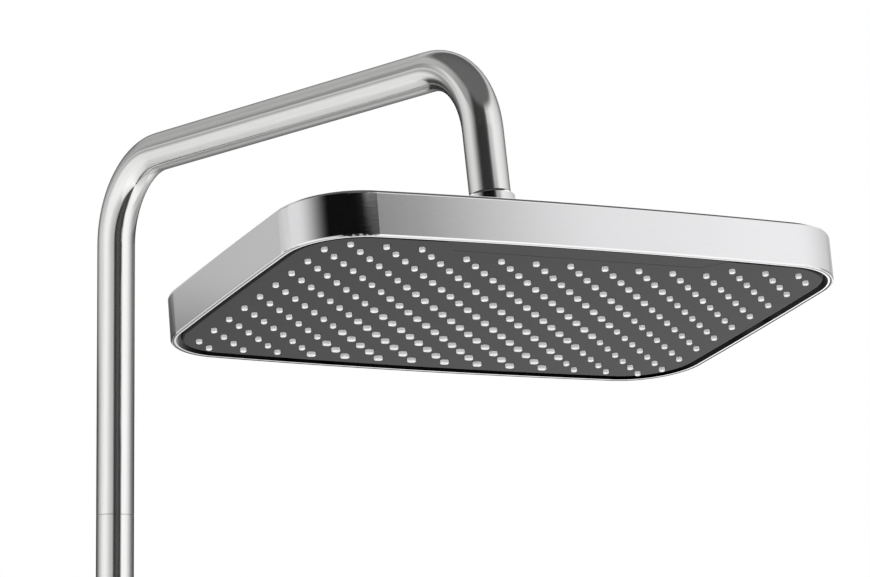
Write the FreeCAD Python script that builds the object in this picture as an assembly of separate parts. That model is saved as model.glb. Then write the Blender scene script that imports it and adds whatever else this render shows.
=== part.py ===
"""Wall-fixed shower column: a bent riser tube with a rectangular rain head.

Millimetres, +Z up. The wall is the plane y = 0 and the column stands in front of it, towards -Y.
The origin is the centre of the wall plate's back face. The head has its own frame: its origin is
the middle of the shell's lower lip, +Z runs up through the ball joint and +Y towards the wall.
The drop tube's frame shares that frame's heights but has +Z along the tube; they meet at the ball.
"""
import FreeCAD, Part
import math
import os

V = FreeCAD.Vector
X, Y, Z = V(1, 0, 0), V(0, 1, 0), V(0, 0, 1)

# ---- clearances ----
RUN = 0.05                # radial clearance of a turning or sliding fit
SLIP = 0.10               # gap between faces that only come close
ROOMY = 0.30              # gap round parts that are put together loosely
SEAM_GAP = 0.35           # visible seam round the spray selector bar
CHAMFER = 1.2             # broken corners of nuts and collars
SINK = 0.5                # how far a grub screw stays below the surface
OVER = 1.0                # how far a cutting tool runs past what it cuts

# ---- tube run ----
TUBE_OD = 21.3            # stainless tube, nominal half inch
TUBE_WALL = 1.2
WALL_OFFSET = 60.0        # wall face to riser axis
SEAM_HEIGHT = 98.9        # wall plate centre to the seam where the arm turns on the riser
ARM_HEIGHT = 300.0        # wall plate centre to the arm's axis
ARM_REACH = 343.3         # riser axis to the corner of arm and drop axes
BEND_R = 46.3             # centreline radius of both bends
DROP_LENGTH = 100.0       # corner of arm and drop axes to the ball's centre
DROP_LEAN = 9.4           # degrees that the drop leans, so the spray points away from the wall
HEAD_TURN = -9.6          # how the head is set on its ball, in degrees: turned about the drop,
HEAD_NOD = 0.5            # then nodded about its long level axis
HEAD_ROLL = 1.2           # and rolled about its short one
RISER_DEPTH = 551.0       # wall plate centre down to the riser's cut end

# ---- arm swivel at the seam ----
SEAM_RING_T = 0.6         # washer between the two tube ends
BUSH_WALL = 2.15
SPIGOT_WALL = 3.2
SPIGOT_UP = 40.0          # spigot length above the seam
SPIGOT_DOWN = 30.0        # spigot length inside the riser
SWIVEL_RING_R = 1.0       # O-ring section radius
SWIVEL_RINGS_AT = (8.0, 14.0)   # O-ring heights above the seam
STOP_SCREW_R = 2.0
STOP_SCREW_AT = 26.0      # stop screw height above the seam
STOP_GROOVE_DEPTH = 1.6
ARM_SWING = 60.0          # degrees each way before the stop screw meets its groove's end

# ---- wall bracket ----
PLATE_T = 4.0
PLATE_HOLE_SPACING = 34.0
PLATE_HOLE_R = 2.6
PLATE_EDGE = 7.0          # hole centre to the plate's edge
STUB_R = 8.0              # stub that the bracket post slides onto
STUB_LENGTH = 24.0
POST_WALL = 2.95
POST_GAP = 1.0            # wall plate to post
RING_WALL = 4.95          # clamp ring round the riser
RING_HEIGHT = 26.0
LINER_WALL = 1.0
LINER_SLOT = 2.0
ROSE_DEPTH = 9.0          # domed cover over the wall plate
ROSE_EDGE_H = 4.6
ROSE_WALL = 1.0
ROSE_FLAT = 3.0           # flat of the cover round the post
GRUB_R = 2.5              # M5 grub screws

# ---- inlet union ----
COLLAR_STEP = 1.35        # tail collar beyond the tube
COLLAR_T = 7.0
TAIL_UP = 21.0            # tail length inside the riser
TAIL_WALL = 2.8
UNION_WALL = 2.9
UNION_LIP_T = 3.0         # lip of the nut that hooks over the tail's collar
UNION_WASHER_T = 2.5
UNION_THREAD_L = 14.0     # free G 3/4 thread below the washer
UNION_RELIEF = 0.5        # the bore above the thread is wider than the thread by this

# ---- head outline, shell and trim; heights above the lower lip ----
HEAD_LENGTH = 302.2       # middle of short side to middle of short side
HEAD_WIDTH = 209.6        # middle of long side to middle of long side
CORNER_R = 37.5
LONG_SIDE_BOW = 3.4       # how far the long sides swell past their ends
SHORT_SIDE_BOW = 0.5
SHELL_WALL = 1.4
SHELL_TOP_T = 2.0
SHELL_TOP_EDGE_R = 2.0
SHELL_LIP_EDGE_R = 0.8
TRIM_GROOVE = 0.4         # dark line between shell and trim ring
TRIM_GROOVE_DEPTH = 2.0
TRIM_OVERLAP = 0.5
TRIM_T = 1.0
TRIM_H = 8.0
TRIM_LIFT = 0.15          # trim ring's edge above the shell's lip

# ---- spray face ----
FACE_GAP = 2.4            # dark gap between trim ring and face plate
FACE_Z = 0.9              # outer surface of the face plate
FACE_T = 3.0
FACE_EDGE_R = 1.8
BAR_EASE = 0.6
FACE_SKIN = 1.0           # left in front of a screw's pilot hole
MAT_T = 1.6
MAT_STEP = 0.8            # mat's edge inside the face plate's edge
PITCH = 19.0              # along a row; rows are half a pitch apart, each shifted half a pitch
NOZZLE_MARGIN = 16.0      # least distance from a nozzle to the head's outline, along X or Y
CENTRE_BLOCK = 3.75       # half width of the middle spray zone, in pitches
NOZZLE_R = 1.55
NOZZLE_OUT = 1.9          # how far a nozzle stands out of the face
NOZZLE_TIP = 0.35         # chamfer at the tip
NOZZLE_BORE_R = 0.5
NOZZLE_HOLE_GAP = 0.5
STRETCH_FRONT = 0.10      # middle-zone nozzles are ovals that lengthen towards the wall
STRETCH_BACK = 1.60

# ---- spray selector bar, in the middle of the head's front edge ----
BAR_DEPTH = 19.8          # head's front to the bar's long straight edge
BAR_INNER_HALF = 68.0     # half length of that edge
BAR_SLOPE = 0.78          # how far each slanted end runs out per millimetre forward
BAR_TRAVEL = 1.5
BAR_PIN_X = 55.0
BAR_PIN_FORWARD = 7.5     # guide pins and foot in front of the straight edge
BAR_PIN_R = 2.0
FOOT_R = 2.5
POCKET_GAP = 1.5
CLIP_WIDTH = 1.6
CLIP_T = 0.8
CLIP_BITE = 0.5           # depth of the clip's groove in the pin
BAR_SPRING_TURNS = 5
SPRING_WIRE_R = 0.35
SPRING_GAP = 0.85         # pin to the inside of its spring

# ---- water chamber ----
WATER_DEPTH = 6.1
TRAY_STEP = 0.3           # chamber's edge inside the face plate's edge
TRAY_WALL = 6.0
TRAY_TOP_T = 2.0
LEDGE_T = 4.0             # ledge over the selector bar, bored for its pins
FLANGE_LIFT = 1.1         # light-tight flange behind the gap round the face
FLANGE_T = 2.0
PARTITION_T = 2.0
SIDE_PORT_R = 6.0
SIDE_PORT_X = 85.0
FACE_SCREW_R = 1.25
FACE_SCREW_COUNT = 20
FACE_SCREW_HEAD_R = 2.2
FACE_SCREW_HEAD_T = 1.5
FACE_BOSS_WALL = 1.25
FACE_BOSS_H = 3.6

# ---- manifold over the chamber ----
DUCT_H = 1.2
COVER_SKIN = 1.3
DUCT_HALF_Y = 24.0
COVER_RIM = 4.0
COLLAR_R = 17.0
COLLAR_BORE_R = 12.0
BOSS_SCREW_CIRCLE_R = 21.5
BOSS_SCREW_R = 1.5
BOSS_SCREW_HEAD_R = 2.7
BOSS_SCREW_HEAD_T = 1.5
BOSS_POST_WALL = 2.1
BOSS_O_RING_R = 0.75

# ---- spray valve and its rocker ----
ROCKER_ARM = 26.5         # pivot to each end, so bar and valve move alike
ROCKER_T = 1.8
ROCKER_NOSE = 0.25        # how far the rocker's rounded ends stand proud of its bar
ROCKER_WIDTH = 6.0
ROCKER_PIN_R = 0.9
ROCKER_HUB_WALL = 0.95
EAR_T = 2.5
VALVE_ROD_R = 1.8
VALVE_LAND = 1.7          # valve disc beyond its port
VALVE_DISC_T = 1.1
VALVE_WASHER_T = 0.45
VALVE_PORT_GAP = 2.0      # port beyond the rod
VALVE_SPRING_TURNS = 3
STEM_SEAL_T = 1.2
GLAND_FLOOR_T = 0.4
CAGE_GAP = 1.0            # cage inside wall beyond the valve disc
CAGE_WALL = 1.2
CAGE_LIFT = 0.5           # cage floor above the mat
CAGE_FLOOR_T = 0.8
CAGE_WINDOW = 6.0

# ---- ball joint over the head ----
BOSS_FLANGE_T = 2.5
BOSS_RIM = 1.8
BOSS_NECK_WALL = 2.35
BOSS_BORE_R = 6.2
LOCK_NUT_T = 3.4
LOCK_NUT_WALL = 6.3
NUT_GAP = 0.6
NECK_GRIP = 4.8           # threaded stretch of the boss neck inside the joint nut
JOINT_NUT_WALL = 3.3
JOINT_NUT_TOP = 9.0       # above the ball's centre
JOINT_NUT_TAPER = 3.5
JOINT_NUT_FLAT = 1.5      # depth of the wrench flats
BALL_RISE = 4.1           # neck's top to the ball's centre
BALL_R = 9.5
BALL_RING_T = 1.25
BALL_BORE_R = 3.5
STEM_WALL = 2.0
RING_POLAR = (60, 88)     # slip ring's extent, in degrees from the ball's top
SEAT_POLAR = (104, 138)   # seat's extent
HEAD_SWAY = 12.0          # degrees that the ball lets the head tip each way about each level axis
SOCKET_FLOOR_T = 2.5
SOCKET_WALL = 2.6
SOCKET_THREAD_L = 10.2    # G 1/2 thread
SOCKET_FLAT = 1.0
NIPPLE_STEP = 0.45        # thread's radius beyond the tube's bore
NIPPLE_UP = 14.0
JOINT_WASHER_T = 0.6
STRAINER_T = 2.0
STRAINER_FLOOR_T = 0.6
STRAINER_HOLE_R = 0.7
STRAINER_PITCH = 2.2
REGULATOR_T = 4.0
REGULATOR_HOLE_R = 0.8
REGULATOR_HOLES = 8

# ---- worked out: tubes ----
TUBE_R = TUBE_OD / 2
TUBE_IR = TUBE_R - TUBE_WALL
SPIGOT_R = TUBE_IR - BUSH_WALL - RUN
WATERWAY_R = TUBE_IR - TAIL_WALL
POST_R = STUB_R + RUN + POST_WALL
LINER_R = TUBE_R + RUN + LINER_WALL
RING_R = LINER_R + RING_WALL
PLATE_R = PLATE_HOLE_SPACING / 2 + PLATE_EDGE
ROSE_R = PLATE_R + ROSE_WALL + LINER_SLOT + SINK
COLLAR_TAIL_R = TUBE_R + COLLAR_STEP
UNION_BORE_R = COLLAR_TAIL_R + SLIP
UNION_CORNER_R = 2 * (UNION_BORE_R + UNION_WALL) / math.sqrt(3)

# ---- worked out: heights in the head ----
FACE_TOP_Z = FACE_Z + FACE_T
MAT_TOP_Z = FACE_TOP_Z + MAT_T
FLANGE_Z = MAT_TOP_Z + FLANGE_LIFT
VALVE_SEAT_Z = MAT_TOP_Z + WATER_DEPTH
TRAY_TOP_Z = VALVE_SEAT_Z + TRAY_TOP_T
LEDGE_Z = TRAY_TOP_Z - LEDGE_T
DUCT_TOP_Z = TRAY_TOP_Z + DUCT_H
COVER_TOP_Z = DUCT_TOP_Z + COVER_SKIN
ROCKER_ROOM = BAR_TRAVEL + ROCKER_T / 2 + 2 * SLIP
ROCKER_Z = COVER_TOP_Z + ROCKER_ROOM
ROCKER_HUB_R = ROCKER_PIN_R + RUN + ROCKER_HUB_WALL
PUSH_Z = ROCKER_Z - ROCKER_T / 2 - SLIP
SHELL_ROOF_Z = ROCKER_Z + ROCKER_ROOM
SHELL_H = SHELL_ROOF_Z + SHELL_TOP_T
COLLAR_TOP_Z = SHELL_ROOF_Z - BOSS_FLANGE_T
BOSS_NECK_TOP = SHELL_H + LOCK_NUT_T + NUT_GAP + NECK_GRIP
BALL_Z = BOSS_NECK_TOP + BALL_RISE
POCKET_R = BALL_R + BALL_RING_T + 2 * RUN
BOSS_NECK_R = POCKET_R + BOSS_NECK_WALL
JOINT_NUT_R = BOSS_NECK_R + JOINT_NUT_WALL
sway_both = math.radians(HEAD_SWAY * math.sqrt(2))
SOCKET_Z = (BALL_Z + JOINT_NUT_TOP * math.cos(sway_both)
            + (JOINT_NUT_R - JOINT_NUT_TAPER) * math.sin(sway_both) + 2 * ROOMY)
SOCKET_FLOOR_Z = SOCKET_Z + SOCKET_FLOOR_T
SOCKET_TOP_Z = SOCKET_FLOOR_Z + SOCKET_THREAD_L
DROP_END_Z = SOCKET_TOP_Z + JOINT_WASHER_T
SOCKET_THREAD_R = TUBE_IR + NIPPLE_STEP
SOCKET_R = SOCKET_THREAD_R + SOCKET_WALL
NECK_R = BALL_BORE_R + STEM_WALL

# ---- worked out: plan of the head ----
TRIM_INSET = SHELL_WALL + TRIM_GROOVE
FACE_INSET = TRIM_INSET + TRIM_T + FACE_GAP
TRAY_OUT_INSET = FACE_INSET + TRAY_STEP
TRAY_IN_INSET = TRAY_OUT_INSET + TRAY_WALL
FACE_BOSS_R = FACE_SCREW_R + FACE_BOSS_WALL
FACE_SCREW_INSET = TRAY_OUT_INSET + TRAY_WALL / 2
BAR_INNER_Y = HEAD_WIDTH / 2 - BAR_DEPTH
BAR_PIN_Y = BAR_INNER_Y + BAR_PIN_FORWARD
PIVOT_Y = -BAR_PIN_Y + ROCKER_ARM
VALVE_Y = PIVOT_Y + ROCKER_ARM
VALVE_PORT_R = VALVE_ROD_R + VALVE_PORT_GAP
VALVE_DISC_R = VALVE_PORT_R + VALVE_LAND
CAGE_R = VALVE_DISC_R + CAGE_GAP + CAGE_WALL
CAGE_FLOOR_Z = MAT_TOP_Z + CAGE_LIFT + CAGE_FLOOR_T
VALVE_WASHER_Z = VALVE_SEAT_Z - RUN - VALVE_WASHER_T
VALVE_DISC_Z = VALVE_WASHER_Z - VALVE_DISC_T
BOSS_O_RING_AT = (COLLAR_R + COLLAR_BORE_R) / 2
BOSS_FLANGE_R = BOSS_SCREW_CIRCLE_R + BOSS_SCREW_HEAD_R + BOSS_RIM

# ---- worked out: frames ----
RISER_CORNER = V(0, -WALL_OFFSET, ARM_HEIGHT)
DROP_CORNER = RISER_CORNER - Y * ARM_REACH
leaning = FreeCAD.Rotation(X, -DROP_LEAN)
BALL = DROP_CORNER - leaning.multVec(Z) * DROP_LENGTH
set_on_ball = (leaning * FreeCAD.Rotation(Z, HEAD_TURN) * FreeCAD.Rotation(X, HEAD_NOD)
               * FreeCAD.Rotation(Y, HEAD_ROLL))
DROP = FreeCAD.Placement(BALL - leaning.multVec(Z) * BALL_Z, leaning)
HEAD = FreeCAD.Placement(BALL - set_on_ball.multVec(Z) * BALL_Z, set_on_ball)
RISER = FreeCAD.Placement(V(0, -WALL_OFFSET, 0), FreeCAD.Rotation())
SEAM = FreeCAD.Placement(V(0, -WALL_OFFSET, SEAM_HEIGHT), FreeCAD.Rotation())

NODES = {}


def add(name, shape, placement=None):
    """Keep one sub-part under its name, moved from its own frame into the model's."""
    shape = shape.copy()
    if placement is not None:
        shape.Placement = placement.multiply(shape.Placement)
    NODES[name] = shape


# ---------------------------------------------------------------- plain shapes

def disc(radius, low, high, at=V(0, 0, 0)):
    """Upright cylinder between two heights."""
    return Part.makeCylinder(radius, high - low, V(at.x, at.y, low), Z)


def tube(outer, inner, low, high, at=V(0, 0, 0)):
    return disc(outer, low, high, at).cut(disc(inner, low - OVER, high + OVER, at))


def rod(radius, start, end):
    """Cylinder from one point to another."""
    return Part.makeCylinder(radius, (end - start).Length, start, end - start)


def block(low, high):
    """Box between two corners."""
    return Part.makeBox(high.x - low.x, high.y - low.y, high.z - low.z, low)


def prism(points, height):
    """Upright prism on a closed outline of flat points."""
    return Part.Face(Part.makePolygon(points + points[:1])).extrude(Z * height)


def turned(profile):
    """Solid of revolution about Z from (radius, height) points."""
    points = [V(r, 0, z) for r, z in profile]
    return Part.Face(Part.makePolygon(points + points[:1])).revolve(V(0, 0, 0), Z, 360)


def chamfered_disc(radius, low, high, lower, upper):
    """Upright cylinder with its lower and upper edges broken."""
    return turned([(0, low), (radius - lower, low), (radius, low + lower),
                   (radius, high - upper), (radius - upper, high), (0, high)])


def edges_at(shape, height):
    """Edges that lie wholly at one height."""
    boxes = [(edge, edge.BoundBox) for edge in shape.Edges]
    return [edge for edge, box in boxes
            if abs(box.ZMin - height) < 1e-4 and abs(box.ZMax - height) < 1e-4]


def cut_all(shape, tools):
    return shape.cut(Part.makeCompound(tools))


def flats(shape, depth, low, high):
    """Mill two wrench flats on a turned part, to a depth below its widest radius."""
    radius = shape.BoundBox.XMax
    for side in (-1, 1):
        x_low, x_high = sorted((side * (radius - depth), side * (radius + OVER)))
        shape = shape.cut(block(V(x_low, -radius, low), V(x_high, radius, high)))
    return shape


def coil(radius, wire_r, low, high, turns, at):
    """Compression spring with its ends ground square at the two heights."""
    helix = Part.makeHelix((high - low) / turns, high - low, radius)
    ring = Part.Wire(Part.makeCircle(wire_r, V(radius, 0, 0), Y))
    spring = Part.Wire(helix.Edges).makePipeShell([ring], True, True)
    spring.translate(V(at.x, at.y, low))
    far = radius + 2 * wire_r
    return spring.common(block(V(at.x - far, at.y - far, low), V(at.x + far, at.y + far, high)))


# ---------------------------------------------------------------- bent tube

def bend(before, corner, after, radius):
    """Tangent arc at a corner of the tube's axis: its start, its edge and its end."""
    back, ahead = (before - corner).normalize(), (after - corner).normalize()
    half = back.getAngle(ahead) / 2
    reach = radius / math.tan(half)
    middle = (back + ahead).normalize()
    centre = corner + middle * (radius / math.sin(half))
    start, end = corner + back * reach, corner + ahead * reach
    return start, Part.Arc(start, centre - middle * radius, end).toShape(), end


def upper_tube():
    foot = V(0, -WALL_OFFSET, SEAM_HEIGHT + SEAM_RING_T)
    tip = DROP.multVec(Z * DROP_END_Z)
    start_1, arc_1, end_1 = bend(foot, RISER_CORNER, DROP_CORNER, BEND_R)
    start_2, arc_2, end_2 = bend(RISER_CORNER, DROP_CORNER, tip, BEND_R)
    path = Part.Wire([
        Part.LineSegment(foot, start_1).toShape(), arc_1,
        Part.LineSegment(end_1, start_2).toShape(), arc_2,
        Part.LineSegment(end_2, tip).toShape()])
    outer, inner = [path.makePipeShell([Part.Wire(Part.makeCircle(r, foot, Z))], True, False)
                    for r in (TUBE_R, TUBE_IR)]
    hole_at = V(0, -WALL_OFFSET, SEAM_HEIGHT + STOP_SCREW_AT)
    print("tube axis length %.1f mm" % path.Length)
    return outer.cut(inner).cut(rod(STOP_SCREW_R, hole_at, hole_at + Y * TUBE_OD))


# ---------------------------------------------------------------- riser and its inlet union

def riser_parts():
    add("lower_tube", tube(TUBE_R, TUBE_IR, -RISER_DEPTH, SEAM_HEIGHT), RISER)

    collar_z = -RISER_DEPTH - COLLAR_T
    tail = disc(TUBE_IR, -RISER_DEPTH, -RISER_DEPTH + TAIL_UP)
    tail = tail.fuse(disc(COLLAR_TAIL_R, collar_z, -RISER_DEPTH))
    tail = tail.cut(disc(WATERWAY_R, collar_z - OVER, -RISER_DEPTH + TAIL_UP + OVER))
    add("tail_piece", tail, RISER)
    washer_z = collar_z - UNION_WASHER_T
    add("union_washer", tube(COLLAR_TAIL_R, WATERWAY_R, washer_z, collar_z), RISER)

    low, high = washer_z - UNION_THREAD_L, -RISER_DEPTH + UNION_LIP_T
    corners = [V(UNION_CORNER_R * math.cos(k * math.pi / 3),
                 UNION_CORNER_R * math.sin(k * math.pi / 3), low) for k in range(6)]
    nut = prism(corners, high - low)
    nut = nut.common(chamfered_disc(UNION_CORNER_R, low, high, CHAMFER, CHAMFER))
    nut = nut.cut(disc(UNION_BORE_R, low - OVER, washer_z))
    nut = nut.cut(disc(UNION_BORE_R + UNION_RELIEF, washer_z, -RISER_DEPTH))
    nut = nut.cut(disc(TUBE_R + SLIP, -RISER_DEPTH - OVER, high + OVER))
    add("union_nut", nut, RISER)


# ---------------------------------------------------------------- wall bracket

def bracket_parts():
    plate = rod(PLATE_R, V(0, 0, 0), -Y * PLATE_T).fuse(rod(STUB_R, V(0, 0, 0), -Y * STUB_LENGTH))
    for side in (-1, 1):
        at = Z * (side * PLATE_HOLE_SPACING / 2)
        plate = plate.cut(rod(PLATE_HOLE_R, at + Y * OVER, at - Y * (PLATE_T + OVER)))
    add("wall_plate", plate)

    axis = V(0, -WALL_OFFSET, 0)
    grub_at = -Y * (STUB_LENGTH - 2 * GRUB_R)
    post = disc(RING_R, -RING_HEIGHT / 2, RING_HEIGHT / 2, axis)
    post = post.fuse(rod(POST_R, -Y * (PLATE_T + POST_GAP), axis))
    post = cut_all(post, [
        disc(LINER_R, -RING_HEIGHT, RING_HEIGHT, axis),
        rod(STUB_R + RUN, V(0, 0, 0), -Y * (STUB_LENGTH + SLIP))])
    post = cut_all(post, [
        rod(GRUB_R, grub_at, grub_at - Z * (POST_R + OVER)),
        rod(GRUB_R, axis, axis + X * (RING_R + OVER))])
    add("bracket_post", post)
    add("post_screw", rod(GRUB_R, grub_at - Z * STUB_R, grub_at - Z * (POST_R - SINK)))

    liner = tube(LINER_R, TUBE_R + RUN, -RING_HEIGHT / 2, RING_HEIGHT / 2)
    slot = block(V(-RING_R, -LINER_SLOT / 2, -RING_HEIGHT), V(0, LINER_SLOT / 2, RING_HEIGHT))
    add("ring_liner", liner.cut(slot).cut(rod(GRUB_R + RUN, V(0, 0, 0), X * RING_R)), RISER)
    grub = rod(GRUB_R, X * (TUBE_R - RUN), X * (RING_R - SINK))
    add("ring_screw", grub.cut(disc(TUBE_R, -RING_HEIGHT, RING_HEIGHT)), RISER)

    hole_r = POST_R + SLIP
    flat_r = POST_R + ROSE_FLAT
    rose = turned([(hole_r, 0), (ROSE_R, 0), (ROSE_R, ROSE_EDGE_H), (flat_r, ROSE_DEPTH),
                   (hole_r, ROSE_DEPTH)])
    roof = ROSE_DEPTH - ROSE_WALL
    hollow = turned([(0, -OVER), (ROSE_R - ROSE_WALL, -OVER),
                     (ROSE_R - ROSE_WALL, ROSE_EDGE_H - ROSE_WALL / 2), (flat_r, roof), (0, roof)])
    facing = FreeCAD.Placement(V(0, 0, 0), FreeCAD.Rotation(X, 90))
    add("wall_rose", rose.cut(hollow), facing)


# ---------------------------------------------------------------- swivel between riser and arm

def swivel_parts():
    spigot = disc(TUBE_IR, -SPIGOT_DOWN, 0).fuse(disc(SPIGOT_R, 0, SPIGOT_UP))
    spigot = spigot.cut(disc(SPIGOT_R - SPIGOT_WALL, -SPIGOT_DOWN - OVER, SPIGOT_UP + OVER))
    ring_centre_r = SPIGOT_R + RUN / 2 - SWIVEL_RING_R
    rings = []
    for height in SWIVEL_RINGS_AT:
        half = SWIVEL_RING_R + SLIP
        spigot = spigot.cut(tube(SPIGOT_R + OVER, ring_centre_r - SWIVEL_RING_R,
                                 height - half, height + half))
        rings.append(Part.makeTorus(ring_centre_r, SWIVEL_RING_R, Z * height, Z))
    half = STOP_SCREW_R + SLIP
    sweep = 2 * (ARM_SWING + math.degrees(math.asin(half / (SPIGOT_R - STOP_GROOVE_DEPTH))))
    groove = Part.makeCylinder(SPIGOT_R + OVER, 2 * half, Z * (STOP_SCREW_AT - half), Z, sweep)
    groove = groove.cut(disc(SPIGOT_R - STOP_GROOVE_DEPTH, 0, SPIGOT_UP))
    groove.rotate(V(0, 0, 0), Z, 90 - sweep / 2)
    add("swivel_spigot", spigot.cut(groove), SEAM)
    add("swivel_o_rings", Part.makeCompound(rings), SEAM)

    add("seam_washer", tube(TUBE_R - SLIP, SPIGOT_R + RUN, 0, SEAM_RING_T), SEAM)
    screw_at = Z * STOP_SCREW_AT
    bush = tube(TUBE_IR, SPIGOT_R + RUN, SEAM_RING_T, SPIGOT_UP)
    add("swivel_bush", bush.cut(rod(STOP_SCREW_R, screw_at, screw_at + Y * TUBE_OD)), SEAM)
    tip = SPIGOT_R - STOP_GROOVE_DEPTH + 2 * SLIP
    add("arm_stop_screw", rod(STOP_SCREW_R, screw_at + Y * tip, screw_at + Y * (TUBE_R - SINK)),
        SEAM)


# ---------------------------------------------------------------- head outline and grids

def outline(inset):
    """Flat face of the head's plan shape, drawn in by a parallel distance, at height 0."""
    cx = HEAD_LENGTH / 2 - CORNER_R - SHORT_SIDE_BOW
    cy = HEAD_WIDTH / 2 - CORNER_R - LONG_SIDE_BOW
    corners = [V(-cx, -cy, 0), V(cx, -cy, 0), V(cx, cy, 0), V(-cx, cy, 0)]
    swells = [V(0, -cy - LONG_SIDE_BOW, 0), V(cx + SHORT_SIDE_BOW, 0, 0),
              V(0, cy + LONG_SIDE_BOW, 0), V(-cx - SHORT_SIDE_BOW, 0, 0)]
    sides = [Part.Arc(corners[k], swells[k], corners[(k + 1) % 4]).toShape() for k in range(4)]
    return Part.Face(Part.Wire(sides).makeOffset2D(CORNER_R - inset))


def slab(inset, low, high):
    """Plate with the head's plan shape between two heights."""
    face = outline(inset)
    face.translate(Z * low)
    return face.extrude(Z * (high - low))


def bar_prism(grow, low, high):
    """The selector bar's trapezoid, grown all round, running out past the head's front edge."""
    front = HEAD_WIDTH / 2 + OVER
    inner_y = BAR_INNER_Y - grow
    inner_half = BAR_INNER_HALF + grow * (math.hypot(1, BAR_SLOPE) - BAR_SLOPE)
    outer_half = inner_half + (front - inner_y) * BAR_SLOPE
    return prism([V(-inner_half, -inner_y, low), V(inner_half, -inner_y, low),
                  V(outer_half, -front, low), V(-outer_half, -front, low)], high - low)


def nozzle_grid():
    """Nozzle centres in rows of (y, [x, ...], stretch), clear of the outline and of the bar."""
    room = outline(TRAY_IN_INSET + NOZZLE_R)
    taken = bar_prism(POCKET_GAP + PARTITION_T + NOZZLE_R, -OVER, OVER)
    ends = int((HEAD_LENGTH / 2 - NOZZLE_MARGIN) / PITCH)
    last_row = int((HEAD_WIDTH / 2 - NOZZLE_MARGIN) / (PITCH / 2))
    rows = []
    for row in range(-last_row, last_row + 1):
        y = row * PITCH / 2
        shift = 0.5 if row % 2 else 0.0
        centres = [V((k + shift) * PITCH, y, 0) for k in range(-ends, ends + 1) if k + shift <= ends]
        free = [c.x for c in centres
                if room.isInside(c, 0.01, True) and not taken.isInside(c, 0.01, True)]
        share = (row + last_row) / (2 * last_row)
        stretch = STRETCH_FRONT + share * (STRETCH_BACK - STRETCH_FRONT)
        middle_zone = CENTRE_BLOCK * PITCH
        rows.append((y, [x for x in free if abs(x) < middle_zone], stretch))
        rows.append((y, [x for x in free if abs(x) >= middle_zone], 0.0))
    return rows


GRID = nozzle_grid()


def oval(radius, stretch, low, high):
    """Upright cylinder, drawn out along X by the stretch."""
    if stretch < 1e-6:
        return disc(radius, low, high)
    left, right = V(-stretch / 2, 0, low), V(stretch / 2, 0, low)
    up = Y * radius
    wire = Part.Wire([
        Part.LineSegment(left - up, right - up).toShape(),
        Part.Arc(right - up, right + X * radius, right + up).toShape(),
        Part.LineSegment(right + up, left + up).toShape(),
        Part.Arc(left + up, left - X * radius, left - up).toShape()])
    return Part.Face(wire).extrude(Z * (high - low))


def over_grid(make):
    """Copies of a small solid, made once per row from its stretch, at every nozzle."""
    copies = []
    for y, places, stretch in GRID:
        pattern = make(stretch)
        for x in places:
            copy = pattern.copy()
            copy.translate(V(x, y, 0))
            copies.append(copy)
    return copies


def face_screw_places():
    """Screw centres round the head, evenly spaced, leaving the selector bar's stretch free."""
    places = outline(FACE_SCREW_INSET).OuterWire.discretize(FACE_SCREW_COUNT + 1)[:-1]
    pocket = bar_prism(POCKET_GAP + FACE_BOSS_R + OVER, -OVER, OVER)
    return [p for p in places if not pocket.isInside(p, 0.01, True)]


# ---------------------------------------------------------------- head casing and spray face

def shell_parts():
    shell = slab(0, 0, SHELL_H)
    shell = shell.makeFillet(SHELL_TOP_EDGE_R, edges_at(shell, SHELL_H))
    shell = shell.makeFillet(SHELL_LIP_EDGE_R, edges_at(shell, 0))
    shell = shell.cut(slab(SHELL_WALL, -OVER, SHELL_ROOF_Z))
    shell = shell.cut(disc(BOSS_NECK_R + ROOMY, SHELL_ROOF_Z - OVER, SHELL_H + OVER))
    add("head_shell", shell, HEAD)

    trim = slab(SHELL_WALL, TRIM_GROOVE_DEPTH, TRIM_H)
    trim = trim.fuse(slab(TRIM_INSET, TRIM_LIFT, TRIM_GROOVE_DEPTH + TRIM_OVERLAP))
    trim = trim.cut(slab(TRIM_INSET + TRIM_T, TRIM_LIFT - OVER, TRIM_H + OVER))
    add("trim_ring", trim.removeSplitter(), HEAD)


def face_plate():
    """Spray plate with the bar's notch, screw bosses behind and a hole for every nozzle."""
    low, high = FACE_Z - OVER, FACE_TOP_Z + OVER
    boss_top = FACE_TOP_Z + FACE_BOSS_H
    plate = slab(FACE_INSET, FACE_Z, FACE_TOP_Z)
    plate = plate.makeFillet(FACE_EDGE_R, edges_at(plate, FACE_Z))
    plate = plate.cut(bar_prism(SEAM_GAP / 2, low, high))
    plate = plate.fuse([disc(FACE_BOSS_R, FACE_Z + FACE_SKIN, boss_top, p)
                        for p in face_screw_places()])
    pilots = [disc(FACE_SCREW_R, FACE_Z + FACE_SKIN, boss_top + OVER, p)
              for p in face_screw_places()]
    holes = over_grid(lambda stretch: oval(NOZZLE_R + NOZZLE_HOLE_GAP, stretch, low, high))
    return cut_all(plate, pilots + holes)


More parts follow.
